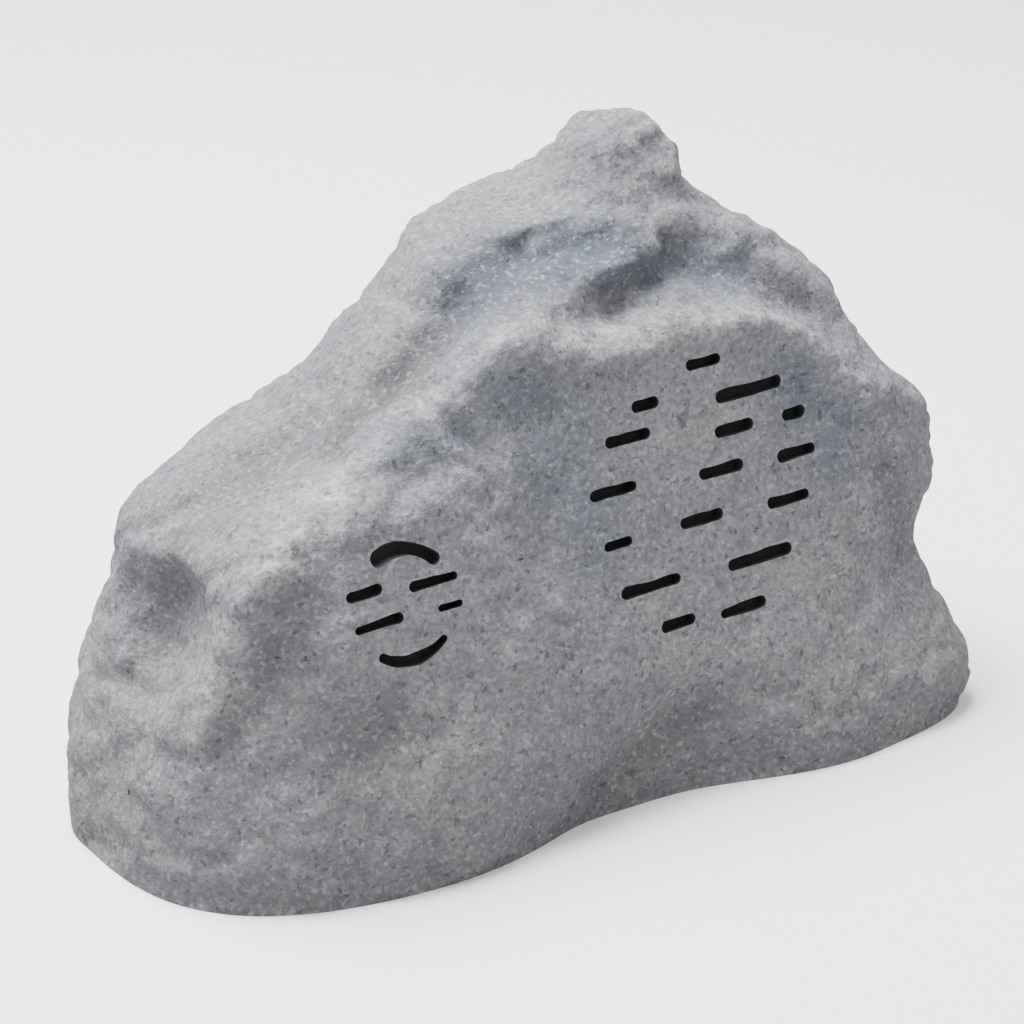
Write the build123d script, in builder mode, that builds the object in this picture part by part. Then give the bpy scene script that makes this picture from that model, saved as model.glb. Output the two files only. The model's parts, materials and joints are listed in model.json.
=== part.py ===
"""Rock shaped garden speaker: a hollow moulded rock with a two-way speaker behind slotted grilles."""
import math
import os

from build123d import *

# Overall size of the rock, before its relief is added
ROCK_WIDTH = 422
ROCK_DEPTH = 268
ROCK_HEIGHT = 294

# Shift that brings the middle of the finished rock onto the origin
ROCK_SHIFT = (-3, 3)

# Proportions of the rock: height, then reach to the left, right, front and back at that height
ROCK_LEVELS = (
    (0, -211, 205, -128, 130),
    (30, -210, 207, -129, 134),
    (72, -200, 207, -119, 130),
    (117, -183, 199, -107, 116),
    (155, -171, 196, -98, 97),
    (180, -108, 186, -91, 84),
    (205, -77, 175, -80, 73),
    (230, -51, 156, -62, 60),
    (255, -21, 113, -42, 44),
    (268, 36, 105, -33, 33),
    (280, 49, 104, -27, 24),
    (289, 57, 101, -20, 17),
    (294, 70, 91, -8, 6),
)
# How square the plan's corners are: back right, back left, front left, front right
CORNER_POWERS = (2.2, 1.6, 3.2, 4.4)
# Relief: start and end of a ridge, its reach to each side, and its rise, or its depth if negative
RELIEF = (
    # Foot and bump at the front right, with the waist between them
    ((205, -125, 0), (205, -125, 20), 54, 31),
    ((120, -135, 0), (175, -135, 10), 40, 19),
    ((194, -95, 144), (198, -95, 126), 37, 39),
    ((206, -104, 88), (206, -104, 88), 22, -10),
    # Drawn-in middle of the front foot
    ((-10, -130, 0), (36, -130, 12), 44, -13),
    # Long ridge from under the peak down to the left foot
    ((66, -44, 243), (-7, -63, 229), 14, 8),
    ((-7, -63, 229), (-87, -66, 196), 18, 12),
    ((-87, -66, 196), (-145, -85, 157), 18, 11),
    ((-145, -85, 157), (-192, -82, 90), 19, 11),
    # Groove above the long ridge
    ((26, -34, 246), (-2, -36, 244), 15, -11),
    ((-2, -36, 244), (-72, -50, 203), 16, -13),
    # Groove down the left end
    ((-118, -40, 182), (-150, -28, 160), 19, -9),
    ((-150, -28, 160), (-186, -34, 100), 20, -17),
    # Brow over the large grille and the groove above it
    ((-2, -79, 217), (108, -80, 215), 14, 10),
    ((108, -80, 215), (159, -94, 163), 15, 11),
    ((4, -66, 227), (36, -64, 226), 13, -8),
    ((36, -64, 226), (90, -54, 232), 14, -10),
    ((90, -54, 232), (147, -80, 202), 15, -11),
    # Crease between the long ridge and the ground of the small grille
    ((-178, -95, 88), (-134, -92, 143), 15, -6),
    ((-134, -92, 143), (-95, -90, 162), 15, -5),
    # Hollow between the two grilles
    ((-28, -84, 186), (-20, -96, 140), 30, -8),
    # Hollow by the left foot and crease in the front foot
    ((-134, -111, 69), (-134, -111, 69), 20, -8),
    ((-8, -122, 20), (47, -123, 42), 14, -5),
    # Hump on the skyline left of the peak
    ((4, 10, 258), (4, 10, 258), 22, 7),
)
# Rings that the skin and the cavity are lofted through
SKIN_RINGS = 28
SKIN_POINTS = 72
CAVITY_RINGS = 14
CAVITY_POINTS = 40
FOOT_POINTS = 48
RING_CROWDING = 1.25

# Moulded shell; the hollow follows the skin more coarsely, so it keeps further in than the wall of the gland
WALL = 6
CAVITY_INSET = 10
TOP_WALL = 11
CAVITY_TOP = 0.823 * ROCK_HEIGHT
RIM_WALL = 7
LEDGE_WIDTH = 16
LEDGE_THICKNESS = 6

# Base plate, which closes the rock from below
PLATE_SETBACK = 3.5
PLATE_THICKNESS = 4
PLATE_CLEARANCE = 0.6
BASE_GASKET = 1.5
RIB_WIDTH = 3
RIB_HEIGHT = 6
RIBS = ((-0.235 * ROCK_DEPTH, 0.59 * ROCK_WIDTH), (0.284 * ROCK_DEPTH, 0.4 * ROCK_WIDTH))
BASE_SCREW_COUNT = 8
BASE_BOSS_RADIUS = 6
BASE_BOSS_HEIGHT = 10

# Screws: radius and height of the head, radius and length of the shank
BASE_SCREW = (4, 2.4, 2, 18)
WOOFER_SCREW = (4, 2.4, 2, 15)
TWEETER_SCREW = (2.8, 1.8, 1.4, 10)
BOARD_SCREW = (2.8, 1.8, 1.4, 8)
SCREW_CLEARANCE = 0.15
SCREW_CROWN = 0.7
PILOT_EXTRA_DEPTH = 1

# Grilles: the flat that carries each one, its lean from upright and how softly it runs out
GRILLE_LEAN = 15
GRILLE_BLEND = 24
GRILLE_WALL = 6
SLOT_HEIGHT = 5
TWEETER_SLOT_HEIGHT = 4.2
SCREEN_THICKNESS = 1
SCREEN_CLEARANCE = 0.4
SEAT_POCKET = 8

# Woofer grille; its slots are centre and length in hundredths of the grille's radius
WOOFER_X = 0.152 * ROCK_WIDTH
WOOFER_Z = 0.48 * ROCK_HEIGHT
WOOFER_RECESS = 4
WOOFER_GRILLE_RADIUS = 64
WOOFER_SLOTS = (
    (11, 92, 30),
    (-44, 73, 23),
    (48, 64, 58),
    (-62, 53, 38),
    (30, 39, 34),
    (84, 38, 20),
    (-80, 19, 39),
    (14, 12, 39),
    (83, 9, 34),
    (-83, -19, 25),
    (-9, -19, 38),
    (70, -23, 38),
    (-59, -56, 50),
    (38, -59, 58),
    (-41, -88, 30),
    (17, -92, 42),
)
WOOFER_BORE_RADIUS = 68
WOOFER_BOSS_RADIUS = 87
WOOFER_SEAT = 20

# Tweeter grille; its arcs are radius, start and span, with the radius in the same hundredths
TWEETER_X = -0.239 * ROCK_WIDTH
TWEETER_Z = 0.442 * ROCK_HEIGHT
TWEETER_RECESS = 5
TWEETER_GRILLE_RADIUS = 30
TWEETER_SLOTS = ((-63, 32, 58), (52, 21, 80), (-49, -17, 84), (72, -21, 45))
TWEETER_ARCS = ((80, 42, 70), (84, 233, 76))
TWEETER_BORE_RADIUS = 32
TWEETER_BOSS_RADIUS = 46
TWEETER_SEAT = 14

# Woofer: pressed basket, motor and moving parts, with depths measured inwards from the flange's front
WOOFER_GASKET = 1.5
WOOFER_GASKET_INNER = 73.2
FLANGE_RADIUS = 82
FLANGE_THICKNESS = 2
WOOFER_SCREW_CIRCLE = 77.5
WOOFER_SCREW_COUNT = 4
BASKET_THROAT = 65
BASKET_WALL = 2
BASKET_DEPTH = 46
BASKET_BACK_RADIUS = 40
BASKET_HOLE = 18
WINDOW_COUNT = 6
WINDOW_WIDTH = 36
SHELF_DEPTH = 30
SHELF_INNER = 37
SHELF_OUTER = 44
TOP_PLATE_THICKNESS = 6
MAGNET_RADIUS = 46
MAGNET_HOLE = 22
MAGNET_THICKNESS = 16
YOKE_RADIUS = 40
YOKE_THICKNESS = 6
POLE_RADIUS = 12
POLE_VENT = 5
COIL_GAP = 0.4
FORMER_WALL = 0.5
FORMER_LENGTH = 36
WINDING_WALL = 0.7
WINDING_LENGTH = 12
CONE_RADIUS = 54
CONE_LIP = 4
CONE_WALL = 1
BOND_GAP = 0.25
DUST_CAP_RADIUS = 21
DUST_CAP_HEIGHT = 7
DUST_CAP_WALL = 1
ROLL_WALL = 1
ROLL_FOOT = 6
ROLL_CLEARANCE = 0.7
SPIDER_WALL = 0.8
SPIDER_FOOT = 3
SPIDER_WAVES = 4
SPIDER_WAVE_HEIGHT = 2
TAG_LUG = (22, 18)
TAG_BOARD = (20, 12, 2)
TAG = (3, 1, 8)
TAG_PITCH = 9

# Tweeter, with depths measured inwards from its seat
TWEETER_GASKET = 1
TWEETER_GASKET_WIDTH = 7
FACEPLATE_RADIUS = 40
FACEPLATE_THICKNESS = 3
FACEPLATE_MOUTH = 24
TWEETER_SCREW_CIRCLE = 36.4
TWEETER_SCREW_COUNT = 4
DOME_RADIUS = 12.5
DOME_HEIGHT = 5
DOME_WALL = 0.6
DOME_ROLL = 3
DOME_RIM = 3
DOME_RIM_THICKNESS = 1
TWEETER_PLATE_RADIUS = 29
TWEETER_PLATE_THICKNESS = 4
TWEETER_MAGNET_RADIUS = 30
TWEETER_MAGNET_HOLE = 18
TWEETER_MAGNET_THICKNESS = 10
TWEETER_YOKE_RADIUS = 28
TWEETER_YOKE_THICKNESS = 4
TWEETER_POLE_RADIUS = 11.6
TWEETER_COIL_WALL = 0.5
TWEETER_COIL_GAP = 0.3
TWEETER_COIL_LENGTH = 7
TWEETER_TAG_BLOCK = (18, 6, 4)
TWEETER_TAG_RADIUS = 35

# Crossover board on the base plate
BOARD_X = -0.164 * ROCK_WIDTH
BOARD_Y = 0.063 * ROCK_DEPTH
BOARD_SIZE = (112, 84, 1.6)
BOARD_INSET = 6
STANDOFF_RADIUS = 4
STANDOFF_HEIGHT = 9
WOOFER_INDUCTOR = (9, 20, 18)
WOOFER_INDUCTOR_AT = (-30, 14)
TWEETER_INDUCTOR = (6, 13, 14)
TWEETER_INDUCTOR_AT = (4, 26)
WOOFER_CAPACITOR = (9, 30)
WOOFER_CAPACITOR_AT = (30, 26)
TWEETER_CAPACITOR = (28, 13, 20)
TWEETER_CAPACITOR_AT = (14, 2)
RESISTOR = (46, 9, 9)
RESISTOR_AT = (10, -16)
INPUT_BLOCK = (14, 24, 13)
INPUT_BLOCK_AT = (46, 4)
INPUT_PITCH = 11
INPUT_PORT = 6
INPUT_SCREW_RADIUS = 2.2
EDGE_ROUND = 1

# Leads from the tags of each driver to its pads on the board
LEAD_RADIUS = 1.2
LEAD_BEND = 12
LEAD_RUN = 24
LEAD_RISE = 24
WOOFER_PAD_AT = (40, -30)
TWEETER_PAD_AT = (-32, -30)

# Cable gland in a round pocket low on the back of the rock
GLAND_X = 0.102 * ROCK_WIDTH
GLAND_Z = 46
GLAND_POCKET_RADIUS = 20
GLAND_POCKET_DEPTH = 27
GLAND_HEX = 22
GLAND_FLANGE = 5
GLAND_BARREL_RADIUS = 8
GLAND_BARREL_LENGTH = 15
GLAND_CLEARANCE = 0.25
GLAND_THROAT_RADIUS = 4.6
GLAND_NECK_LENGTH = 8
GLAND_WASHER = 1.5
GLAND_WASHER_RADIUS = 12.5
LOCKNUT_THICKNESS = 5
SEAL_RADIUS = 6
SEAL_LENGTH = 11
CABLE_RADIUS = 3.5
DOME_NUT_WALL = 2.2
DOME_NUT_CROWN = 4


def blend(before, start, end, after, heights, height):
    """Smooth value at a height between two levels, with slopes taken from the levels around them."""
    low, high = heights[1], heights[2]
    share = (height - low) / (high - low)
    rise_low = (end - before) / (heights[2] - heights[0]) * (high - low)
    rise_high = (after - start) / (heights[3] - heights[1]) * (high - low)
    ease = share * share * (3 - 2 * share)
    bow_low = share * (1 - share) ** 2
    bow_high = share * share * (share - 1)
    return start + (end - start) * ease + rise_low * bow_low + rise_high * bow_high


def rock_reach(level):
    """Left, right, front and back reach of the rock's outline at a level, in the table's own units."""
    last = len(ROCK_LEVELS) - 1
    index = max(k for k in range(last) if k == 0 or ROCK_LEVELS[k][0] <= level)
    rows = [ROCK_LEVELS[min(max(k, 0), last)] for k in range(index - 1, index + 3)]
    heights = [row[0] for row in rows]
    return [blend(*(row[side] for row in rows), heights, level) for side in (1, 2, 3, 4)]


TABLE_SIZE = (
    max(row[2] for row in ROCK_LEVELS) - min(row[1] for row in ROCK_LEVELS),
    max(row[4] for row in ROCK_LEVELS) - min(row[3] for row in ROCK_LEVELS),
    ROCK_LEVELS[-1][0],
)
STRETCH = [size / table for size, table in zip((ROCK_WIDTH, ROCK_DEPTH, ROCK_HEIGHT), TABLE_SIZE)]


def rock_side(height, side):
    """Where the rock's front (2) or back (3) lies at a height, without its relief."""
    return rock_reach(height / STRETCH[2])[side] * STRETCH[1] + ROCK_SHIFT[1]


def leaning_plane(x, z, recess):
    """Plane of a grille: its Z axis points out of the rock and up by the lean."""
    lean = math.radians(GRILLE_LEAN)
    origin = (x, rock_side(z, 2) + recess, z)
    return Plane(origin, x_dir=(1, 0, 0), z_dir=(0, -math.cos(lean), math.sin(lean)))


def profile_plane(plane):
    """Plane for profiles turned about another plane's Z axis: X is the radius, Y runs along the axis."""
    return Plane(plane.origin, x_dir=plane.x_dir, z_dir=plane.x_dir.cross(plane.z_dir))


WOOFER_PLANE = leaning_plane(WOOFER_X, WOOFER_Z, WOOFER_RECESS)
TWEETER_PLANE = leaning_plane(TWEETER_X, TWEETER_Z, TWEETER_RECESS)
GLAND_FLOOR = rock_side(GLAND_Z, 3) - GLAND_POCKET_DEPTH
GLAND_PLANE = Plane((GLAND_X, GLAND_FLOOR, GLAND_Z), x_dir=(-1, 0, 0), z_dir=(0, 1, 0))
FLATS = ((WOOFER_PLANE, WOOFER_BORE_RADIUS), (TWEETER_PLANE, TWEETER_BORE_RADIUS))


def distance_to_ridge(point, start, end):
    """Distance from a point to the straight line between a ridge's two ends."""
    run = end - start
    share = 0 if run.length == 0 else min(max((point - start).dot(run) / run.length**2, 0), 1)
    return (point - start - run * share).length


def flatten(point):
    """Pull a point of the rock onto the flat of a grille that it lies on or beside."""
    for plane, radius in FLATS:
        local = plane.to_local_coords(point)
        edge = math.hypot(local.X, local.Y) - radius
        if edge < GRILLE_BLEND and abs(local.Z) < GRILLE_BLEND * 2:
            share = min(max(1 - edge / GRILLE_BLEND, 0), 1)
            pull = share * share * (3 - 2 * share)
            point = Vector(point.X, point.Y - pull * local.Z / plane.z_dir.Y, point.Z)
    return point


def rock_point(turn, height):
    """Point of the rock's skin at a turn around its plan and a height."""
    level = height / STRETCH[2]
    left, right, front, back = rock_reach(level)
    half_x, half_y = (right - left) / 2, (back - front) / 2
    angle = math.atan2(half_y * math.sin(turn), half_x * math.cos(turn)) % (2 * math.pi)
    across, along = math.cos(angle), math.sin(angle)
    power = CORNER_POWERS[int(angle / (math.pi / 2)) % 4]
    radius = (abs(across / half_x) ** power + abs(along / half_y) ** power) ** (-1 / power)
    point = Vector((left + right) / 2 + radius * across, (front + back) / 2 + radius * along, level)
    push = 0
    for start, end, reach, rise in RELIEF:
        push += rise * math.exp(-((distance_to_ridge(point, Vector(start), Vector(end)) / reach) ** 2))
    point += Vector(across, along, 0) * push
    x = point.X * STRETCH[0] + ROCK_SHIFT[0]
    y = point.Y * STRETCH[1] + ROCK_SHIFT[1]
    return flatten(Vector(x, y, height))


def ring_points(count, level, inset=0):
    """Points of the rock's outline at a level, drawn in by the inset."""
    points = [rock_point(2 * math.pi * k / count, level) for k in range(count)]
    outline = []
    for k, point in enumerate(points):
        along = points[(k + 1) % count] - points[k - 1]
        inward = Vector(-along.Y, along.X, 0).normalized()
        outline.append(point + inward * inset)
    return outline


def ring(points, height):
    """Closed smooth outline through points, laid at a height; all rings share their knots."""
    knots = [k / len(points) for k in range(len(points) + 1)]
    flat = [(point.X, point.Y, height) for point in points]
    return Edge.make_spline(flat, periodic=True, parameters=knots)


def ring_heights(low, high, count):
    """Heights of the rings from low to high, closer together towards the top."""
    shares = [1 - (1 - k / count) ** RING_CROWDING for k in range(count + 1)]
    return [low + (high - low) * share for share in shares]


def foot_slab(inset, low, high, mode=Mode.ADD):
    """Slab of the part being built in the shape of the rock's foot outline, drawn in by the inset."""
    face = Face(Wire([ring(ring_points(FOOT_POINTS, 0, inset), low)]))
    extrude(face, amount=high - low, dir=(0, 0, 1), mode=mode)


def disc(plane, radius, low, high, hole=0, mode=Mode.ADD):
    """Round disc or ring of the part being built, from low to high along a plane's Z axis."""
    with BuildSketch(plane.offset(low)) as outline:
        Circle(radius)
        if hole:
            Circle(hole, mode=Mode.SUBTRACT)
    extrude(outline.sketch, amount=high - low, mode=mode)


def slab(plane, size, low, high, at=(0, 0), mode=Mode.ADD):
    """Rectangular block of the part being built, from low to high along a plane's Z axis."""
    with BuildSketch(plane.offset(low)) as outline:
        with Locations(at):
            Rectangle(*size)
    extrude(outline.sketch, amount=high - low, mode=mode)


def hexagon(plane, across_flats, low, high):
    """Six-sided prism of the part being built, from low to high along a plane's Z axis."""
    with BuildSketch(plane.offset(low)) as outline:
        RegularPolygon(across_flats / 2, 6, major_radius=False)
    extrude(outline.sketch, amount=high - low)


def turned(plane, *corners):
    """Piece turned about a plane's Z axis from the corners of its half section: radius and height."""
    with BuildSketch(profile_plane(plane)) as section:
        with BuildLine():
            Polyline(*corners, close=True)
        make_face()
    revolve(section.sketch, axis=Axis(plane.origin, plane.z_dir))


def dome(plane, radius, height, wall, base):
    """Thin cap of the part being built, bulging along a plane's Z axis from its base."""
    ball = (radius**2 + height**2) / (2 * height)
    crown = base + height
    shoulder = crown - ball + math.sqrt(ball**2 - (radius / 2) ** 2)
    with BuildSketch(profile_plane(plane)) as section:
        with BuildLine():
            ThreePointArc((radius, base), (radius / 2, shoulder), (0, crown))
            Line((0, crown), (0, crown - wall))
            ThreePointArc((0, crown - wall), ((radius - wall) / 2, shoulder - wall), (radius - wall, base))
            Line((radius - wall, base), (radius, base))
        make_face()
    revolve(section.sketch, axis=Axis(plane.origin, plane.z_dir))


def circle_spots(plane, radius, count, start):
    """Planes spaced evenly on a circle around a plane's Z axis."""
    angles = [math.radians(start + 360 * k / count) for k in range(count)]
    spots = [Vector(radius * math.cos(angle), radius * math.sin(angle)) for angle in angles]
    return [Plane(plane.from_local_coords(spot), plane.x_dir, plane.z_dir) for spot in spots]


def lead(start, out, end):
    """Wire of the part being built: straight out of its tag, across, and down onto its pad."""
    across = Vector(end.X, end.Y, end.Z + LEAD_RISE)
    with BuildLine() as route:
        FilletPolyline(start, start + out * LEAD_RUN, across, end, radius=LEAD_BEND)
    with BuildSketch(Plane(start, z_dir=out)) as section:
        Circle(LEAD_RADIUS)
    sweep(section.sketch, path=route.wire())


def tags(plane, base, radius):
    """Two solder tags of the part being built, below a plane's Z axis and pointing away from its front."""
    for side in (-1, 1):
        slab(plane, TAG[:2], base - TAG[2], base, at=(side * TAG_PITCH / 2, -radius))


def screws(planes, screw):
    """Pan head screws of the part being built: heads outside the planes, shanks inside them."""
    head_radius, head_height, shank_radius, length = screw
    for plane in planes:
        disc(plane, shank_radius, -length, 0)
        turned(
            plane,
            (0, 0),
            (head_radius, 0),
            (head_radius, head_height / 2),
            (head_radius * SCREW_CROWN, head_height),
            (0, head_height),
        )


def screw_holes(planes, screw, depth):
    """Holes for the shanks of screws in the part being built, to a depth inside the planes."""
    for plane in planes:
        disc(plane, screw[2] + SCREW_CLEARANCE, -depth, 0, mode=Mode.SUBTRACT)


# Levels of the foot, from the ground up
PLATE_TOP = PLATE_SETBACK + PLATE_THICKNESS
LEDGE_BOTTOM = PLATE_TOP + BASE_GASKET
LEDGE_TOP = LEDGE_BOTTOM + LEDGE_THICKNESS
SCREW_INSET = RIM_WALL + LEDGE_WIDTH / 2
GROUND_SPOTS = ring_points(FOOT_POINTS, 0, SCREW_INSET)[:: FOOT_POINTS // BASE_SCREW_COUNT]
BASE_SCREW_PLANES = [
    Plane((spot.X, spot.Y, PLATE_SETBACK), x_dir=(1, 0, 0), z_dir=(0, 0, -1)) for spot in GROUND_SPOTS
]

# Seats of the drivers and their screws, which go in from behind
WOOFER_FRONT = -WOOFER_SEAT - WOOFER_GASKET
WOOFER_BACK = Plane(
    WOOFER_PLANE.from_local_coords((0, 0, WOOFER_FRONT - FLANGE_THICKNESS)),
    x_dir=WOOFER_PLANE.x_dir,
    z_dir=-WOOFER_PLANE.z_dir,
)
WOOFER_SCREW_PLANES = circle_spots(WOOFER_BACK, WOOFER_SCREW_CIRCLE, WOOFER_SCREW_COUNT, 45)
TWEETER_FRONT = -TWEETER_SEAT - TWEETER_GASKET
TWEETER_BACK = Plane(
    TWEETER_PLANE.from_local_coords((0, 0, TWEETER_FRONT - FACEPLATE_THICKNESS)),
    x_dir=TWEETER_PLANE.x_dir,
    z_dir=-TWEETER_PLANE.z_dir,
)
TWEETER_SCREW_PLANES = circle_spots(TWEETER_BACK, TWEETER_SCREW_CIRCLE, TWEETER_SCREW_COUNT, 45)

# Crossover board on its standoffs
BOARD_TOP = PLATE_TOP + STANDOFF_HEIGHT + BOARD_SIZE[2]
BOARD_PLANE = Plane((BOARD_X, BOARD_Y, BOARD_TOP))
BOARD_REACH = (BOARD_SIZE[0] / 2 - BOARD_INSET, BOARD_SIZE[1] / 2 - BOARD_INSET)


def board_spot(at):
    """Plane on top of the crossover board at a place measured from its middle."""
    return Plane(BOARD_PLANE.from_local_coords(at))


BOARD_SPOTS = [board_spot((x * BOARD_REACH[0], y * BOARD_REACH[1])) for x in (-1, 1) for y in (-1, 1)]

# The rock's outer form, lofted through its rings
with BuildPart() as rock_form:
    for height in ring_heights(0, ROCK_HEIGHT, SKIN_RINGS):
        with BuildSketch(Plane.XY.offset(height)):
            with BuildLine(Plane.XY.offset(height)):
                add(ring(ring_points(SKIN_POINTS, height), height))
            make_face()
    loft()

# The hollow inside it, which leaves solid bosses for the drivers, the gland and the base screws
with BuildPart() as rock_cavity:
    for height in ring_heights(LEDGE_TOP, CAVITY_TOP, CAVITY_RINGS):
        level = height + TOP_WALL * height / CAVITY_TOP
        with BuildSketch(Plane.XY.offset(height)):
            with BuildLine(Plane.XY.offset(height)):
                add(ring(ring_points(CAVITY_POINTS, level, CAVITY_INSET), height))
            make_face()
    loft()
    disc(WOOFER_PLANE, WOOFER_BOSS_RADIUS, -WOOFER_SEAT, WOOFER_BOSS_RADIUS, mode=Mode.SUBTRACT)
    disc(TWEETER_PLANE, TWEETER_BOSS_RADIUS, -TWEETER_SEAT, TWEETER_BOSS_RADIUS, mode=Mode.SUBTRACT)
    disc(GLAND_PLANE, GLAND_POCKET_RADIUS + WALL, -WALL, GLAND_POCKET_DEPTH * 2, mode=Mode.SUBTRACT)
    for plane in BASE_SCREW_PLANES:
        disc(plane, BASE_BOSS_RADIUS, -LEDGE_TOP - BASE_BOSS_HEIGHT, 0, mode=Mode.SUBTRACT)

# Rock shell with its grilles, ledge, pocket and screw holes
with BuildPart() as rock_shell:
    add(rock_form.part)
    add(rock_cavity.part, mode=Mode.SUBTRACT)
    foot_slab(RIM_WALL, 0, LEDGE_BOTTOM, mode=Mode.SUBTRACT)
    foot_slab(RIM_WALL + LEDGE_WIDTH, 0, LEDGE_TOP, mode=Mode.SUBTRACT)
    disc(WOOFER_PLANE, WOOFER_BORE_RADIUS, -WOOFER_SEAT, -GRILLE_WALL, mode=Mode.SUBTRACT)
    disc(TWEETER_PLANE, TWEETER_BORE_RADIUS, -TWEETER_SEAT, -GRILLE_WALL, mode=Mode.SUBTRACT)
    for plane, radius, seat in (
        (WOOFER_PLANE, FLANGE_RADIUS, WOOFER_SEAT),
        (TWEETER_PLANE, FACEPLATE_RADIUS, TWEETER_SEAT),
    ):
        disc(plane, radius + PLATE_CLEARANCE, -seat - SEAT_POCKET, -seat, mode=Mode.SUBTRACT)
    with BuildSketch(WOOFER_PLANE.offset(-GRILLE_WALL)):
        for across, up, length in WOOFER_SLOTS:
            unit = WOOFER_GRILLE_RADIUS / 100
            with Locations((across * unit, up * unit)):
                SlotOverall(length * unit, SLOT_HEIGHT)
    extrude(amount=GRILLE_WALL * 3, mode=Mode.SUBTRACT)
    with BuildSketch(TWEETER_PLANE.offset(-GRILLE_WALL)):
        unit = TWEETER_GRILLE_RADIUS / 100
        for across, up, length in TWEETER_SLOTS:
            with Locations((across * unit, up * unit)):
                SlotOverall(length * unit, TWEETER_SLOT_HEIGHT)
        for radius, start, span in TWEETER_ARCS:
            arc = Edge.make_circle(radius * unit, start_angle=start, end_angle=start + span)
            SlotArc(arc, TWEETER_SLOT_HEIGHT)
    extrude(amount=GRILLE_WALL * 3, mode=Mode.SUBTRACT)
    disc(GLAND_PLANE, GLAND_POCKET_RADIUS, 0, GLAND_POCKET_DEPTH * 2, mode=Mode.SUBTRACT)
    disc(GLAND_PLANE, GLAND_BARREL_RADIUS + GLAND_CLEARANCE, -WALL * 2, 0, mode=Mode.SUBTRACT)
    screw_holes(WOOFER_SCREW_PLANES, WOOFER_SCREW, WOOFER_SCREW[3] + PILOT_EXTRA_DEPTH)
    screw_holes(TWEETER_SCREW_PLANES, TWEETER_SCREW, TWEETER_SCREW[3] + PILOT_EXTRA_DEPTH)
    screw_holes(BASE_SCREW_PLANES, BASE_SCREW, BASE_SCREW[3] + PILOT_EXTRA_DEPTH)

# Base plate with stiffening ribs and the standoffs of the crossover board
with BuildPart() as base_plate:
    foot_slab(RIM_WALL + PLATE_CLEARANCE, PLATE_SETBACK, PLATE_TOP)
    for row, length in RIBS:
        slab(Plane.XY, (length, RIB_WIDTH), PLATE_TOP, PLATE_TOP + RIB_HEIGHT, at=(0, row))
    for plane in BOARD_SPOTS:
        disc(plane, STANDOFF_RADIUS, -BOARD_SIZE[2] - STANDOFF_HEIGHT, -BOARD_SIZE[2])
    screw_holes(BOARD_SPOTS, BOARD_SCREW, BOARD_SCREW[3] + PILOT_EXTRA_DEPTH)
    screw_holes(BASE_SCREW_PLANES, BASE_SCREW, PLATE_THICKNESS)

with BuildPart() as base_gasket:
    foot_slab(RIM_WALL + PLATE_CLEARANCE, PLATE_TOP, LEDGE_BOTTOM)
    foot_slab(RIM_WALL + LEDGE_WIDTH, PLATE_TOP, LEDGE_BOTTOM, mode=Mode.SUBTRACT)
    screw_holes(BASE_SCREW_PLANES, BASE_SCREW, PLATE_THICKNESS + BASE_GASKET)

with BuildPart() as base_screws:
    screws(BASE_SCREW_PLANES, BASE_SCREW)

# Acoustic screens behind the slots, which keep insects and water off the drivers
with BuildPart() as woofer_screen:
    screen_radius = WOOFER_BORE_RADIUS - SCREEN_CLEARANCE
    disc(WOOFER_PLANE, screen_radius, -GRILLE_WALL - SCREEN_THICKNESS, -GRILLE_WALL)

with BuildPart() as tweeter_screen:
    screen_radius = TWEETER_BORE_RADIUS - SCREEN_CLEARANCE
    disc(TWEETER_PLANE, screen_radius, -GRILLE_WALL - SCREEN_THICKNESS, -GRILLE_WALL)

# Woofer: gasket and pressed basket
with BuildPart() as woofer_gasket:
    disc(WOOFER_PLANE, FLANGE_RADIUS, WOOFER_FRONT, -WOOFER_SEAT, hole=WOOFER_GASKET_INNER)
    screw_holes(WOOFER_SCREW_PLANES, WOOFER_SCREW, FLANGE_THICKNESS + WOOFER_GASKET)

SHELF_FRONT = WOOFER_FRONT - SHELF_DEPTH
BASKET_END = WOOFER_FRONT - BASKET_DEPTH
with BuildPart() as woofer_basket:
    turned(
        WOOFER_PLANE,
        (FLANGE_RADIUS, WOOFER_FRONT),
        (BASKET_THROAT, WOOFER_FRONT),
        (SHELF_OUTER, SHELF_FRONT),
        (SHELF_INNER, SHELF_FRONT),
        (SHELF_INNER, SHELF_FRONT - BASKET_WALL),
        (SHELF_OUTER - BASKET_WALL, SHELF_FRONT - BASKET_WALL),
        (BASKET_BACK_RADIUS - BASKET_WALL, BASKET_END + BASKET_WALL),
        (BASKET_HOLE, BASKET_END + BASKET_WALL),
        (BASKET_HOLE, BASKET_END),
        (BASKET_BACK_RADIUS, BASKET_END),
        (SHELF_OUTER + BASKET_WALL, SHELF_FRONT),
        (BASKET_THROAT + BASKET_WALL, WOOFER_FRONT - FLANGE_THICKNESS),
        (FLANGE_RADIUS, WOOFER_FRONT - FLANGE_THICKNESS),
    )
    with BuildSketch(WOOFER_PLANE.offset(SHELF_FRONT + BASKET_WALL)):
        with PolarLocations((BASKET_THROAT + SHELF_OUTER) / 2, WINDOW_COUNT):
            Rectangle(BASKET_THROAT - SHELF_INNER, WINDOW_WIDTH)
    extrude(amount=SHELF_DEPTH - FLANGE_THICKNESS - 3 * BASKET_WALL, mode=Mode.SUBTRACT)
    lug_middle = SHELF_OUTER + TAG_LUG[1] / 2
    slab(WOOFER_PLANE, TAG_LUG, SHELF_FRONT - BASKET_WALL, SHELF_FRONT, at=(0, -lug_middle))
    screw_holes(WOOFER_SCREW_PLANES, WOOFER_SCREW, FLANGE_THICKNESS)

with BuildPart() as woofer_screws:
    screws(WOOFER_SCREW_PLANES, WOOFER_SCREW)

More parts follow.
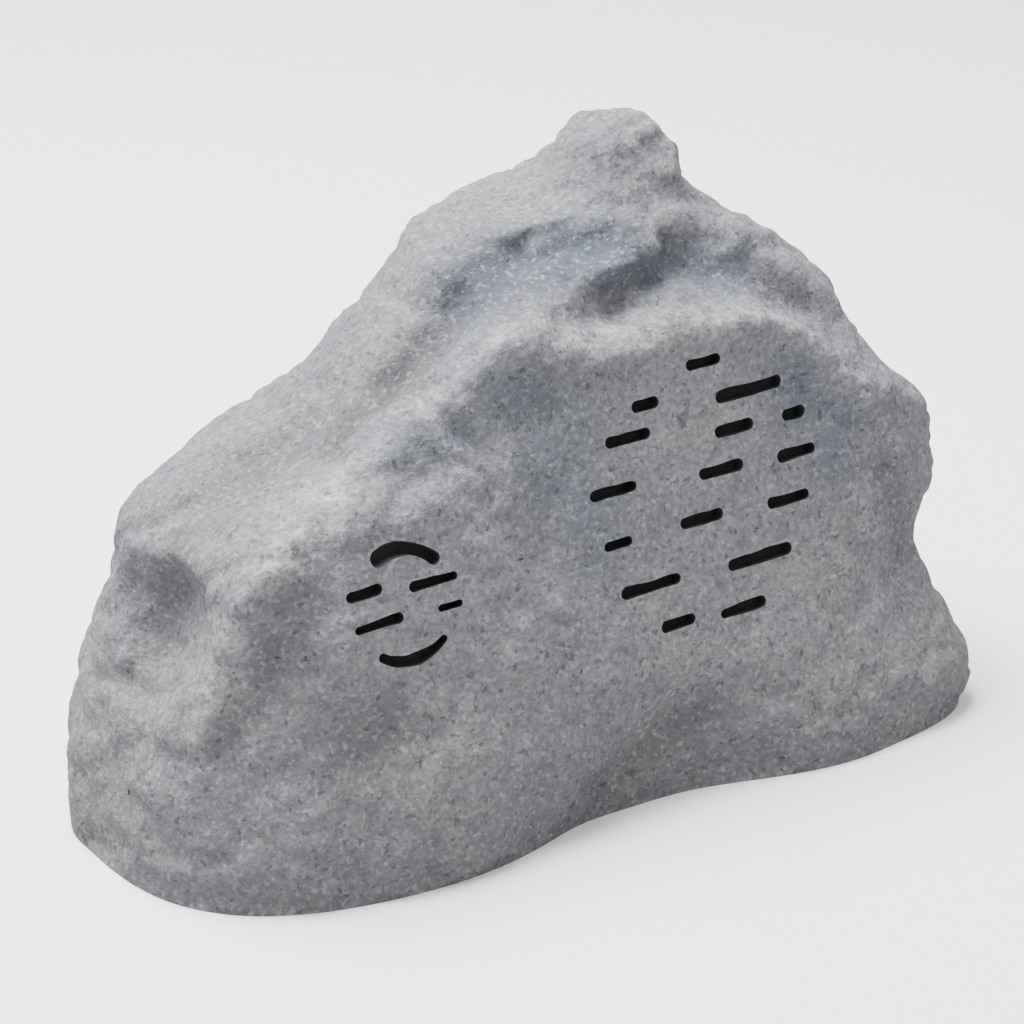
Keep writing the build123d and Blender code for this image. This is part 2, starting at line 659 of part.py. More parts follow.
# Woofer motor: top plate, ring magnet and yoke with its vented pole
WINDING_RADIUS = POLE_RADIUS + COIL_GAP + FORMER_WALL + WINDING_WALL
TOP_PLATE_END = BASKET_END - TOP_PLATE_THICKNESS
MAGNET_END = TOP_PLATE_END - MAGNET_THICKNESS
with BuildPart() as woofer_top_plate:
    disc(WOOFER_PLANE, BASKET_BACK_RADIUS, TOP_PLATE_END, BASKET_END, hole=WINDING_RADIUS + COIL_GAP)

with BuildPart() as woofer_magnet:
    disc(WOOFER_PLANE, MAGNET_RADIUS, MAGNET_END, TOP_PLATE_END, hole=MAGNET_HOLE)

with BuildPart() as woofer_yoke:
    disc(WOOFER_PLANE, YOKE_RADIUS, MAGNET_END - YOKE_THICKNESS, MAGNET_END)
    disc(WOOFER_PLANE, POLE_RADIUS, MAGNET_END, BASKET_END)
    disc(WOOFER_PLANE, POLE_VENT, MAGNET_END - YOKE_THICKNESS, BASKET_END, mode=Mode.SUBTRACT)

# Woofer moving parts: voice coil, cone and dust cap
FORMER_RADIUS = POLE_RADIUS + COIL_GAP + FORMER_WALL
WINDING_MIDDLE = (TOP_PLATE_END + BASKET_END) / 2
FORMER_END = WINDING_MIDDLE - WINDING_LENGTH / 2 - BASKET_WALL
with BuildPart() as woofer_voice_coil:
    coil_hole = POLE_RADIUS + COIL_GAP
    winding_end = WINDING_MIDDLE - WINDING_LENGTH / 2
    disc(WOOFER_PLANE, FORMER_RADIUS, FORMER_END, FORMER_END + FORMER_LENGTH, hole=coil_hole)
    disc(WOOFER_PLANE, WINDING_RADIUS, winding_end, winding_end + WINDING_LENGTH, hole=coil_hole)

NECK_RADIUS = FORMER_RADIUS + BOND_GAP
NECK_END = FORMER_END + FORMER_LENGTH - CONE_LIP
with BuildPart() as woofer_cone:
    turned(
        WOOFER_PLANE,
        (NECK_RADIUS, NECK_END),
        (NECK_RADIUS + CONE_WALL, NECK_END),
        (CONE_RADIUS - CONE_LIP, WOOFER_FRONT - CONE_WALL),
        (CONE_RADIUS, WOOFER_FRONT - CONE_WALL),
        (CONE_RADIUS, WOOFER_FRONT),
        (CONE_RADIUS - CONE_LIP - CONE_WALL, WOOFER_FRONT),
        (NECK_RADIUS, NECK_END + CONE_WALL),
    )

# The cap's rim lies on the cone, whose front rises evenly from its neck to its lip
CONE_SLOPE = (WOOFER_FRONT - NECK_END - CONE_WALL) / (CONE_RADIUS - CONE_LIP - CONE_WALL - NECK_RADIUS)
DUST_CAP_BASE = NECK_END + CONE_WALL + (DUST_CAP_RADIUS - NECK_RADIUS) * CONE_SLOPE + BOND_GAP
with BuildPart() as woofer_dust_cap:
    dome(WOOFER_PLANE, DUST_CAP_RADIUS, DUST_CAP_HEIGHT, DUST_CAP_WALL, DUST_CAP_BASE)

# Woofer suspension: half-roll surround in front, corrugated spider behind
ROLL_OUTER = WOOFER_GASKET_INNER - ROLL_CLEARANCE
ROLL_MIDDLE = (CONE_RADIUS + ROLL_OUTER - ROLL_FOOT) / 2
ROLL_HALF = ROLL_OUTER - ROLL_FOOT - ROLL_MIDDLE
with BuildPart() as woofer_surround:
    low, high = WOOFER_FRONT, WOOFER_FRONT + ROLL_WALL
    with BuildSketch(profile_plane(WOOFER_PLANE)):
        with BuildLine():
            Polyline((CONE_RADIUS, high), (CONE_RADIUS - CONE_LIP, high), (CONE_RADIUS - CONE_LIP, low))
            Line((CONE_RADIUS - CONE_LIP, low), (CONE_RADIUS + ROLL_WALL, low))
            ThreePointArc(
                (CONE_RADIUS + ROLL_WALL, low),
                (ROLL_MIDDLE, low + ROLL_HALF),
                (ROLL_OUTER - ROLL_FOOT - ROLL_WALL, low),
            )
            Line((ROLL_OUTER - ROLL_FOOT - ROLL_WALL, low), (ROLL_OUTER, low))
            Polyline((ROLL_OUTER, low), (ROLL_OUTER, high), (ROLL_OUTER - ROLL_FOOT, high))
            ThreePointArc(
                (ROLL_OUTER - ROLL_FOOT, high), (ROLL_MIDDLE, high + ROLL_HALF), (CONE_RADIUS, high)
            )
        make_face()
    revolve(axis=Axis(WOOFER_PLANE.origin, WOOFER_PLANE.z_dir))

with BuildPart() as woofer_spider:
    inner = FORMER_RADIUS + BOND_GAP
    first, last = inner + SPIDER_FOOT, SHELF_OUTER - SPIDER_FOOT - ROLL_CLEARANCE
    step = (last - first) / (2 * SPIDER_WAVES)
    waves = [
        (first + step * k, SHELF_FRONT + SPIDER_WAVE_HEIGHT * (1 if k % 2 else -1))
        for k in range(1, 2 * SPIDER_WAVES)
    ]
    lower = [(inner, SHELF_FRONT), (first, SHELF_FRONT), *waves, (last, SHELF_FRONT)]
    lower += [(SHELF_OUTER - ROLL_CLEARANCE, SHELF_FRONT)]
    upper = [(radius, height + SPIDER_WALL) for radius, height in reversed(lower)]
    turned(WOOFER_PLANE, *lower, *upper)

TAG_BOARD_FRONT = SHELF_FRONT - BASKET_WALL
TAG_RADIUS = SHELF_OUTER + TAG_LUG[1] - TAG_BOARD[1] / 2
with BuildPart() as woofer_terminals:
    slab(WOOFER_PLANE, TAG_BOARD[:2], TAG_BOARD_FRONT - TAG_BOARD[2], TAG_BOARD_FRONT, at=(0, -TAG_RADIUS))
    tags(WOOFER_PLANE, TAG_BOARD_FRONT - TAG_BOARD[2], TAG_RADIUS)

# Tweeter: gasket, faceplate with its flared mouth, dome and coil
COIL_HOLE = TWEETER_POLE_RADIUS + TWEETER_COIL_GAP
COIL_RADIUS = COIL_HOLE + TWEETER_COIL_WALL
FACEPLATE_BACK = TWEETER_FRONT - FACEPLATE_THICKNESS
RIM_BACK = FACEPLATE_BACK - DOME_RIM_THICKNESS
with BuildPart() as tweeter_gasket:
    gasket_inner = FACEPLATE_RADIUS - TWEETER_GASKET_WIDTH
    disc(TWEETER_PLANE, FACEPLATE_RADIUS, TWEETER_FRONT, -TWEETER_SEAT, hole=gasket_inner)
    screw_holes(TWEETER_SCREW_PLANES, TWEETER_SCREW, FACEPLATE_THICKNESS + TWEETER_GASKET)

with BuildPart() as tweeter_faceplate:
    turned(
        TWEETER_PLANE,
        (FACEPLATE_MOUTH, TWEETER_FRONT),
        (FACEPLATE_RADIUS, TWEETER_FRONT),
        (FACEPLATE_RADIUS, FACEPLATE_BACK),
        (DOME_RADIUS + DOME_ROLL + BOND_GAP, FACEPLATE_BACK),
    )
    screw_holes(TWEETER_SCREW_PLANES, TWEETER_SCREW, FACEPLATE_THICKNESS)

with BuildPart() as tweeter_screws:
    screws(TWEETER_SCREW_PLANES, TWEETER_SCREW)

with BuildPart() as tweeter_dome:
    dome(TWEETER_PLANE, DOME_RADIUS, DOME_HEIGHT, DOME_WALL, FACEPLATE_BACK)
    rim_radius = DOME_RADIUS + DOME_ROLL + DOME_RIM
    disc(TWEETER_PLANE, rim_radius, RIM_BACK, FACEPLATE_BACK, hole=COIL_HOLE)
    roll_half = DOME_ROLL / 2 - BOND_GAP
    roll_middle = DOME_RADIUS + DOME_ROLL / 2
    turned(
        TWEETER_PLANE,
        (roll_middle - roll_half, FACEPLATE_BACK),
        (roll_middle - roll_half / 2, FACEPLATE_BACK + roll_half),
        (roll_middle + roll_half / 2, FACEPLATE_BACK + roll_half),
        (roll_middle + roll_half, FACEPLATE_BACK),
    )

with BuildPart() as tweeter_voice_coil:
    disc(TWEETER_PLANE, COIL_RADIUS, RIM_BACK - TWEETER_COIL_LENGTH, RIM_BACK, hole=COIL_HOLE)

# Tweeter motor
TWEETER_PLATE_BACK = RIM_BACK - TWEETER_PLATE_THICKNESS
TWEETER_MAGNET_BACK = TWEETER_PLATE_BACK - TWEETER_MAGNET_THICKNESS
with BuildPart() as tweeter_top_plate:
    coil_opening = COIL_RADIUS + TWEETER_COIL_GAP
    disc(TWEETER_PLANE, TWEETER_PLATE_RADIUS, TWEETER_PLATE_BACK, RIM_BACK, hole=coil_opening)

with BuildPart() as tweeter_magnet:
    low, high = TWEETER_MAGNET_BACK, TWEETER_PLATE_BACK
    disc(TWEETER_PLANE, TWEETER_MAGNET_RADIUS, low, high, hole=TWEETER_MAGNET_HOLE)

with BuildPart() as tweeter_yoke:
    low, high = TWEETER_MAGNET_BACK - TWEETER_YOKE_THICKNESS, TWEETER_MAGNET_BACK
    disc(TWEETER_PLANE, TWEETER_YOKE_RADIUS, low, high)
    disc(TWEETER_PLANE, TWEETER_POLE_RADIUS, TWEETER_MAGNET_BACK, RIM_BACK)

with BuildPart() as tweeter_terminals:
    width, depth, thickness = TWEETER_TAG_BLOCK
    low = FACEPLATE_BACK - thickness
    slab(TWEETER_PLANE, (width, depth), low, FACEPLATE_BACK, at=(0, -TWEETER_TAG_RADIUS))
    tags(TWEETER_PLANE, low, TWEETER_TAG_RADIUS)

# Crossover board and what is soldered to it
with BuildPart() as crossover_board:
    slab(BOARD_PLANE, BOARD_SIZE[:2], -BOARD_SIZE[2], 0)
    screw_holes(BOARD_SPOTS, BOARD_SCREW, BOARD_SIZE[2])

with BuildPart() as crossover_screws:
    screws(BOARD_SPOTS, BOARD_SCREW)

with BuildPart() as woofer_inductor:
    hole, radius, height = WOOFER_INDUCTOR
    disc(board_spot(WOOFER_INDUCTOR_AT), radius, 0, height, hole=hole)

with BuildPart() as tweeter_inductor:
    hole, radius, height = TWEETER_INDUCTOR
    disc(board_spot(TWEETER_INDUCTOR_AT), radius, 0, height, hole=hole)

with BuildPart() as woofer_capacitor:
    radius, height = WOOFER_CAPACITOR
    disc(board_spot(WOOFER_CAPACITOR_AT), radius, 0, height)
    fillet(woofer_capacitor.edges().filter_by(GeomType.CIRCLE).sort_by(Axis.Z)[-1], EDGE_ROUND)

with BuildPart() as tweeter_capacitor:
    slab(board_spot(TWEETER_CAPACITOR_AT), TWEETER_CAPACITOR[:2], 0, TWEETER_CAPACITOR[2])
    fillet(tweeter_capacitor.edges().filter_by(Axis.Z), EDGE_ROUND)

with BuildPart() as tweeter_resistor:
    slab(board_spot(RESISTOR_AT), RESISTOR[:2], 0, RESISTOR[2])
    chamfer(tweeter_resistor.faces().sort_by(Axis.Z)[-1].edges(), EDGE_ROUND)

with BuildPart() as input_terminal_block:
    block = board_spot(INPUT_BLOCK_AT)
    width, depth, height = INPUT_BLOCK
    slab(block, (width, depth), 0, height)
    port = Plane(block.from_local_coords((width / 2, 0, height / 2)), x_dir=(0, 1, 0), z_dir=(1, 0, 0))
    for side in (-1, 1):
        at = (side * INPUT_PITCH / 2, 0)
        slab(port, (INPUT_PORT, INPUT_PORT), -width / 2, 0, at=at, mode=Mode.SUBTRACT)
        screw = Plane(block.from_local_coords((0, side * INPUT_PITCH / 2, height)))
        disc(screw, INPUT_SCREW_RADIUS, -height / 4, 0, mode=Mode.SUBTRACT)

# Leads between the drivers and the board
WOOFER_TAG_END = TAG_BOARD_FRONT - TAG_BOARD[2] - TAG[2]
TWEETER_TAG_END = FACEPLATE_BACK - TWEETER_TAG_BLOCK[2] - TAG[2]


def lead_ends(plane, radius, tag_end, pad_at, side):
    """Where a lead starts at its tag, which way it leaves, and where it ends on the board."""
    start = plane.from_local_coords((side * TAG_PITCH / 2, -radius, tag_end))
    pad = BOARD_PLANE.from_local_coords((pad_at[0] + side * TAG_PITCH / 2, pad_at[1]))
    return start, -plane.z_dir, pad


with BuildPart() as woofer_lead_plus:
    lead(*lead_ends(WOOFER_PLANE, TAG_RADIUS, WOOFER_TAG_END, WOOFER_PAD_AT, 1))

with BuildPart() as woofer_lead_minus:
    lead(*lead_ends(WOOFER_PLANE, TAG_RADIUS, WOOFER_TAG_END, WOOFER_PAD_AT, -1))

with BuildPart() as tweeter_lead_plus:
    lead(*lead_ends(TWEETER_PLANE, TWEETER_TAG_RADIUS, TWEETER_TAG_END, TWEETER_PAD_AT, 1))

with BuildPart() as tweeter_lead_minus:
    lead(*lead_ends(TWEETER_PLANE, TWEETER_TAG_RADIUS, TWEETER_TAG_END, TWEETER_PAD_AT, -1))

# Cable gland: washer, body, rubber seal, dome nut and the locknut inside the rock
FLANGE_END = GLAND_WASHER + GLAND_FLANGE
NECK_TOP = FLANGE_END + GLAND_NECK_LENGTH
SEAL_END = NECK_TOP + GLAND_WASHER
SEAL_START = SEAL_END - SEAL_LENGTH
with BuildPart() as gland_washer:
    disc(GLAND_PLANE, GLAND_WASHER_RADIUS, 0, GLAND_WASHER, hole=GLAND_BARREL_RADIUS + GLAND_CLEARANCE)

with BuildPart() as gland_body:
    hexagon(GLAND_PLANE, GLAND_HEX, GLAND_WASHER, FLANGE_END)
    barrel_end = GLAND_WASHER - GLAND_BARREL_LENGTH
    disc(GLAND_PLANE, GLAND_BARREL_RADIUS, barrel_end, NECK_TOP)
    disc(GLAND_PLANE, GLAND_THROAT_RADIUS, barrel_end, NECK_TOP, mode=Mode.SUBTRACT)
    disc(GLAND_PLANE, SEAL_RADIUS + SCREW_CLEARANCE, SEAL_START, NECK_TOP, mode=Mode.SUBTRACT)

with BuildPart() as gland_seal:
    disc(GLAND_PLANE, SEAL_RADIUS, SEAL_START, SEAL_END, hole=CABLE_RADIUS)

with BuildPart() as gland_dome_nut:
    crown_start = NECK_TOP + BOND_GAP
    hexagon(GLAND_PLANE, GLAND_HEX, FLANGE_END + 2 * BOND_GAP, crown_start)
    turned(
        GLAND_PLANE,
        (0, crown_start),
        (GLAND_HEX / 2, crown_start),
        (GLAND_HEX / 2 - DOME_NUT_WALL / 2, crown_start + DOME_NUT_CROWN / 2),
        (GLAND_THROAT_RADIUS + DOME_NUT_WALL, crown_start + DOME_NUT_CROWN + DOME_NUT_WALL / 2),
        (0, crown_start + DOME_NUT_CROWN + DOME_NUT_WALL / 2),
    )
    disc(GLAND_PLANE, GLAND_BARREL_RADIUS + GLAND_CLEARANCE, FLANGE_END, crown_start, mode=Mode.SUBTRACT)
    disc(GLAND_PLANE, SEAL_RADIUS + GLAND_CLEARANCE, crown_start, SEAL_END + BOND_GAP, mode=Mode.SUBTRACT)
    disc(GLAND_PLANE, GLAND_THROAT_RADIUS, FLANGE_END, GLAND_POCKET_DEPTH, mode=Mode.SUBTRACT)

with BuildPart() as gland_locknut:
    low = -WALL - LOCKNUT_THICKNESS
    hexagon(GLAND_PLANE, GLAND_HEX, low, -WALL)
    disc(GLAND_PLANE, GLAND_BARREL_RADIUS + GLAND_CLEARANCE, low, -WALL, mode=Mode.SUBTRACT)

pieces = {
    "rock_shell": rock_shell,
    "base_plate": base_plate,
    "base_gasket": base_gasket,
    "base_screws": base_screws,
    "woofer_screen": woofer_screen,
    "woofer_gasket": woofer_gasket,
    "woofer_basket": woofer_basket,
    "woofer_screws": woofer_screws,
    "woofer_top_plate": woofer_top_plate,
    "woofer_magnet": woofer_magnet,
    "woofer_yoke": woofer_yoke,
    "woofer_voice_coil": woofer_voice_coil,
    "woofer_cone": woofer_cone,
    "woofer_dust_cap": woofer_dust_cap,
    "woofer_surround": woofer_surround,
    "woofer_spider": woofer_spider,
    "woofer_terminals": woofer_terminals,
    "tweeter_screen": tweeter_screen,
    "tweeter_gasket": tweeter_gasket,
    "tweeter_faceplate": tweeter_faceplate,
    "tweeter_screws": tweeter_screws,
    "tweeter_dome": tweeter_dome,
    "tweeter_voice_coil": tweeter_voice_coil,
    "tweeter_top_plate": tweeter_top_plate,
    "tweeter_magnet": tweeter_magnet,
    "tweeter_yoke": tweeter_yoke,
    "tweeter_terminals": tweeter_terminals,
    "crossover_board": crossover_board,
    "crossover_screws": crossover_screws,
    "woofer_inductor": woofer_inductor,
    "tweeter_inductor": tweeter_inductor,
    "woofer_capacitor": woofer_capacitor,
    "tweeter_capacitor": tweeter_capacitor,
    "tweeter_resistor": tweeter_resistor,
    "input_terminal_block": input_terminal_block,
    "woofer_lead_plus": woofer_lead_plus,
    "woofer_lead_minus": woofer_lead_minus,
    "tweeter_lead_plus": tweeter_lead_plus,
    "tweeter_lead_minus": tweeter_lead_minus,
    "gland_washer": gland_washer,
    "gland_body": gland_body,
    "gland_seal": gland_seal,
    "gland_dome_nut": gland_dome_nut,
    "gland_locknut": gland_locknut,
}
os.makedirs("parts", exist_ok=True)
for name, piece in pieces.items():
    piece.part.label = name
    export_step(piece.part, f"parts/{name}.step")
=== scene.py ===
"""Dresses the rock shaped garden speaker: a weathered stone skin, the cable gland and the parts inside."""
import json
import math

import bmesh
import bpy
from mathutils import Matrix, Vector, geometry, noise
from mathutils.bvhtree import BVHTree
from mathutils.kdtree import KDTree


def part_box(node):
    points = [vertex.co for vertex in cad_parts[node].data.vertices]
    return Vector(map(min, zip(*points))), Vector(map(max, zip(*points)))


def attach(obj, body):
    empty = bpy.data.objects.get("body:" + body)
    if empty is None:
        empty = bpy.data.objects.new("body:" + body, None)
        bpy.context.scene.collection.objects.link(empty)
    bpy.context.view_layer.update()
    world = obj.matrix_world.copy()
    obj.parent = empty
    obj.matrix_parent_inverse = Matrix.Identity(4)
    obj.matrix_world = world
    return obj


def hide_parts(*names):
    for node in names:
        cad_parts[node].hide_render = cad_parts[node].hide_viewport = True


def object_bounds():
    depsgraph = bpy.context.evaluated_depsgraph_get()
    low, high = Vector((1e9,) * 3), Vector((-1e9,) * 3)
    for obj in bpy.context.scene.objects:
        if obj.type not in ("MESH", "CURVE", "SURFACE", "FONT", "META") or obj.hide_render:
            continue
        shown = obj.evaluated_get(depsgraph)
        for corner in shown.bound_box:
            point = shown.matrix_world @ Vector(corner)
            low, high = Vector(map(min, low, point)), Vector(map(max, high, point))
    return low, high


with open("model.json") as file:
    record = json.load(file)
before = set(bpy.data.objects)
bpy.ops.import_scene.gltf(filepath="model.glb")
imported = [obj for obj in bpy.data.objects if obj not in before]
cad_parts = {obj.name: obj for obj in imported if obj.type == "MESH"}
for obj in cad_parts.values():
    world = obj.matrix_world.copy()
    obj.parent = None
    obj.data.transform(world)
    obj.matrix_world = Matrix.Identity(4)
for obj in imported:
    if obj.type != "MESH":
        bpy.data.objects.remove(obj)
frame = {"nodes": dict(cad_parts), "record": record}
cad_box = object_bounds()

MM = 0.001
cad = frame["nodes"]

# Camera of the photograph: where it looks from, its lens and the point it looks at
CAMERA_AZIMUTH = -34
CAMERA_ELEVATION = 25
CAMERA_DISTANCE = 1400 * MM
CAMERA_LENS = 104
CAMERA_TARGET = Vector((9, -17, 114)) * MM

# Skin of the rock: the distance within which vertices are merged and the edge lengths that its triangles
# are split to in turn, in millimetres, the angle from which an edge ends the skin, and how often and by
# what share its vertices are evened out
SKIN_WELD = 0.002
SKIN_EDGES = (16, 8, 5)
SKIN_SHARP = math.radians(38)
RELAX_ROUNDS = 2
RELAX_SHARE = 0.5

# Weathering of the stone, in millimetres: size and reach of its bumps and of its sharp creases, how far it
# sinks in on the whole, and the deepest and highest that it may go
STONE_BUMPS = ((62, 2.4), (27, 2.2), (13, 1.3), (7.5, 0.8))
STONE_CREASES = ((44, 2.6), (19, 1.3))
STONE_SINK = -0.8
STONE_LIMITS = (-3.4, 3.0)

# How steeply a crease's sides rise, and the height in its range that counts as level
CREASE_STEEPNESS = 4
CREASE_LEVEL = 0.75

# Share of the weathering that is left on the grilles, the share of their radius over which it comes back
# around them, and the height over which it fades towards the foot, in millimetres
GRILLE_CALM = 0.35
GRILLE_BORDER = 1 / 3
FOOT_CALM = 6

# Wall that is left under the skin, and how much of the lining and of the skin is renewed around a place
# where the hollow breaks through, in millimetres
WALL_LEFT = 4
BREAK_REACH = (12, 1.5)

# Grooves and ridges worn into the stone: the line each one follows, its reach and how far it stands out
UPPER_GROOVE = (
    (47, -48, 250), (1, -35, 245), (-26, -35, 239), (-40, -37, 226), (-55, -39, 214), (-70, -39, 204),
    (-80, -41, 198), (-100, -35, 184),
)
END_GROOVE = ((-104, -25, 182), (-129, -15, 170), (-160, -29, 154), (-171, -23, 126), (-180, -19, 102))
BROW_GROOVE = ((63, -50, 232), (88, -47, 231), (109, -58, 225), (134, -65, 210))
TWEETER_CREASE = (
    (-104, -90, 158), (-133, -89, 156), (-154, -83, 136), (-163, -83, 100), (-180, -80, 80),
)
FOOT_HOLLOW = ((-134, -103, 66), (-120, -106, 82))
TOE_CREASE = ((-7, -113, 17), (20, -114, 27), (47, -117, 39))
LONG_RIDGE = (
    (-8, -69, 227), (-31, -67, 224), (-54, -70, 205), (-82, -65, 195), (-117, -63, 175),
    (-152, -80, 158), (-173, -71, 122), (-185, -73, 88),
)
BROW_RIDGE = ((-4, -75, 219), (42, -71, 217), (83, -77, 215), (124, -86, 199), (154, -95, 169))
WORN_LINES = (
    (UPPER_GROOVE, 7, -3.4),
    (END_GROOVE, 11, -3.0),
    (BROW_GROOVE, 9, -2.6),
    (TWEETER_CREASE, 8, -2.4),
    (FOOT_HOLLOW, 14, -3.0),
    (TOE_CREASE, 9, -3.0),
    (LONG_RIDGE, 9, 2.2),
    (BROW_RIDGE, 9, 2.2),
)

# Washes over the stone: the line each one follows, its reach in millimetres and its strength. The blue
# washes are bluish paint in the hollows, made darker to stand in for their shade as well; the grey washes are
# painted shade in the grooves, creases, hollows and the notch; the pale washes are pale dry-brush on the ridges
# that also stands in for the light that catches them, a painted highlight
MIDDLE_PAINT_AND_SHADE = (
    (-40, -73, 202), (-16, -76, 198), (-10, -84, 180), (-29, -87, 166), (-6, -93, 153), (2, -98, 133),
)
RIGHT_PAINT_AND_SHADE = ((124, -86, 184), (122, -89, 170), (143, -94, 156), (136, -97, 139))
# Line of bluish paint and painted shade in the hollow under the top band
UPPER_PAINT_AND_SHADE = ((-23, -35, 240), (-7, -35, 244), (9, -39, 246), (29, -43, 249), (45, -50, 248))
# Line of painted shade in the notch under the overhang on the right
NOTCH_SHADE = ((167, -100, 130), (171, -103, 114), (174, -104, 98), (180, -104, 86))
LOW_PAINT_AND_SHADE = ((-90, -70, 188), (-67, -74, 190), (-47, -75, 191))
# Bluish paint in the hollows, made darker to be painted shade there as well
BLUE_PAINT_AND_SHADE_WASHES = (
    (UPPER_PAINT_AND_SHADE, 18, 1.0), (BROW_GROOVE[:3], 12, 0.8), (MIDDLE_PAINT_AND_SHADE, 22, 0.55), (RIGHT_PAINT_AND_SHADE, 18, 0.6),
    (LOW_PAINT_AND_SHADE, 12, 0.6),
)
# Painted shade in the grooves, creases, hollows, toe and notch
PAINTED_SHADE_WASHES = (
    (END_GROOVE, 20, 0.42), (UPPER_PAINT_AND_SHADE, 15, 1.0), (UPPER_GROOVE[2:], 10, 1.0), (TWEETER_CREASE, 11, 0.6),
    (FOOT_HOLLOW, 18, 0.6), (TOE_CREASE, 12, 0.7), (NOTCH_SHADE, 10, 0.6),
)
# Pale dry-brush on the ridges, also a painted highlight where light catches them
PALE_PAINT_AND_HIGHLIGHT_WASHES = ((LONG_RIDGE, 12, 1.0), (BROW_RIDGE, 11, 1.0))

# Height up to which painted shade darkens the stone towards its foot, in millimetres, and how strongly it does
FOOT_SHADE_HEIGHT = 120
FOOT_SHADE_STRENGTH = 0.4

# Colours of the stone's ground, between which it drifts, and of the washes over it, which hold painted
# shade and a painted highlight as well as paint
GROUND_DARK = (0.178, 0.182, 0.202)
GROUND_LIGHT = (0.236, 0.236, 0.246)
# Pale dry-brush on the ridges, also a painted highlight
PALE_PAINT_AND_HIGHLIGHT = (0.37, 0.37, 0.38)
# Painted shade in the grooves, creases and hollows
PAINTED_SHADE_GREY = (0.075, 0.076, 0.082)
# Bluish paint in the hollows, darkened to be painted shade as well
BLUE_PAINT_AND_SHADE = (0.062, 0.080, 0.128)
# Painted shade, darker towards the foot
FOOT_SHADE_COLOUR = (0.115, 0.113, 0.112)

# Mottle, dark grain, pale flecks and dark specks over the ground: their size in millimetres, detail and
# shift, the noise values between which they fade in, their strength and their colour
STONE_SPOTS = (
    (7.5, 4, 3, 0.44, 0.70, 0.55, (0.105, 0.108, 0.115)),
    (2.6, 3, 5, 0.34, 0.66, 0.55, (0.075, 0.077, 0.082)),
    (2.8, 3, 9, 0.50, 0.74, 0.42, (0.44, 0.44, 0.45)),
    (3.6, 1, 7, 0.64, 0.70, 0.55, (0.035, 0.036, 0.04)),
)

# Plain finishes: how many grains wide their patches of tone are, and how much the grain shows
PATCH_GRAINS = 12
GRAIN_STRENGTH = 0.25

# Bands that a wave texture of scale 1 shows in tau metres, and the depth of a thread against its pitch
WAVE_BANDS = 20
THREAD_DEPTH = 1 / 3

# Studio: half the floor's width in metres, its colour for the light that it throws back and as the camera
# sees it, and the strength of the white sky
FLOOR_REACH = 8
FLOOR_THROWN = (0.42, 0.42, 0.43)
FLOOR_SEEN = (0.97, 0.97, 0.97)
SKY_STRENGTH = 0.9


def line_distance(place, line):
    """Shortest distance from a place to a line through points."""
    nearest = math.inf
    for start, end in zip(line, line[1:]):
        start, end = Vector(start), Vector(end)
        share = geometry.intersect_point_line(place, start, end)[1]
        foot = start.lerp(end, min(max(share, 0), 1))
        nearest = min(nearest, (place - foot).length)
    return nearest


def fade(distance, reach):
    """1 on a line, falling softly to 0 away from it."""
    return math.exp(-((distance / reach) ** 2))


def wash(place, washes):
    """Strength of the strongest of some washes at a place."""
    return max(strength * fade(line_distance(place, line), reach) for line, reach, strength in washes)


def smooth_patch(start, limit):
    """Faces that join a face without an edge sharper than the limit between them."""
    found = {start}
    waiting = [start]
    while waiting:
        for edge in waiting.pop().edges:
            if len(edge.link_faces) == 2 and edge.calc_face_angle() < limit:
                fresh = [face for face in edge.link_faces if face not in found]
                found.update(fresh)
                waiting.extend(fresh)
    return found


def split_skin(rock, layer, longest):
    """Split the skin's long edges and turn its triangles towards even ones."""
    edges = [edge for edge in rock.edges if any(side[layer] for side in edge.link_faces)]
    long_edges = [edge for edge in edges if edge.calc_length() > longest]
    bmesh.ops.subdivide_edges(rock, edges=long_edges, cuts=1)
    bmesh.ops.triangulate(rock, faces=[face for face in rock.faces if len(face.verts) > 3])
    skin = [face for face in rock.faces if face[layer]]
    inner = [
        edge for edge in rock.edges if edge.is_manifold and all(side[layer] for side in edge.link_faces)
    ]
    bmesh.ops.beautify_fill(rock, faces=skin, edges=inner, method="ANGLE")


def screen_circle(name):
    """Middle and radius of an acoustic screen, in millimetres."""
    low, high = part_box(name)
    return (low + high) / (2 * MM), (high.x - low.x) / (2 * MM)


GRILLES = [screen_circle(name) for name in ("woofer_screen", "tweeter_screen")]


def grille_calm(place):
    """Share of the weathering that is left at a place: less on the flats around the slots."""
    calm = 1
    for middle, radius in GRILLES:
        edge = math.hypot(place.x - middle.x, place.z - middle.z) - radius
        border = radius * GRILLE_BORDER
        if place.y < 0 and edge < border:
            calm = min(calm, GRILLE_CALM + (1 - GRILLE_CALM) * max(edge, 0) / border)
    return calm


def behind_grille(place):
    """Whether a place lies within the circle of an acoustic screen, seen from the front."""
    return place.y < 0 and any(
        math.hypot(place.x - middle.x, place.z - middle.z) < radius for middle, radius in GRILLES
    )


def weather(place):
    """How far the stone stands out at a place, in millimetres."""
    bumps = STONE_SINK
    for size, reach in STONE_BUMPS:
        bumps += reach * noise.noise(place / size + Vector((size, 0, 0)))
    for size, reach in STONE_CREASES:
        side = abs(noise.noise(place / size + Vector((0, size, 0)))) * CREASE_STEEPNESS
        bumps += reach * (min(side, 1) - CREASE_LEVEL)
    worn = sum(push * fade(line_distance(place, line), reach) for line, reach, push in WORN_LINES)
    return min(max(bumps * grille_calm(place) + worn, STONE_LIMITS[0]), STONE_LIMITS[1])


def relax(rock, vertices):
    """Even out the places of some vertices."""
    for _ in range(RELAX_ROUNDS):
        bmesh.ops.smooth_vert(
            rock, verts=vertices, factor=RELAX_SHARE, use_axis_x=True, use_axis_y=True, use_axis_z=True
        )


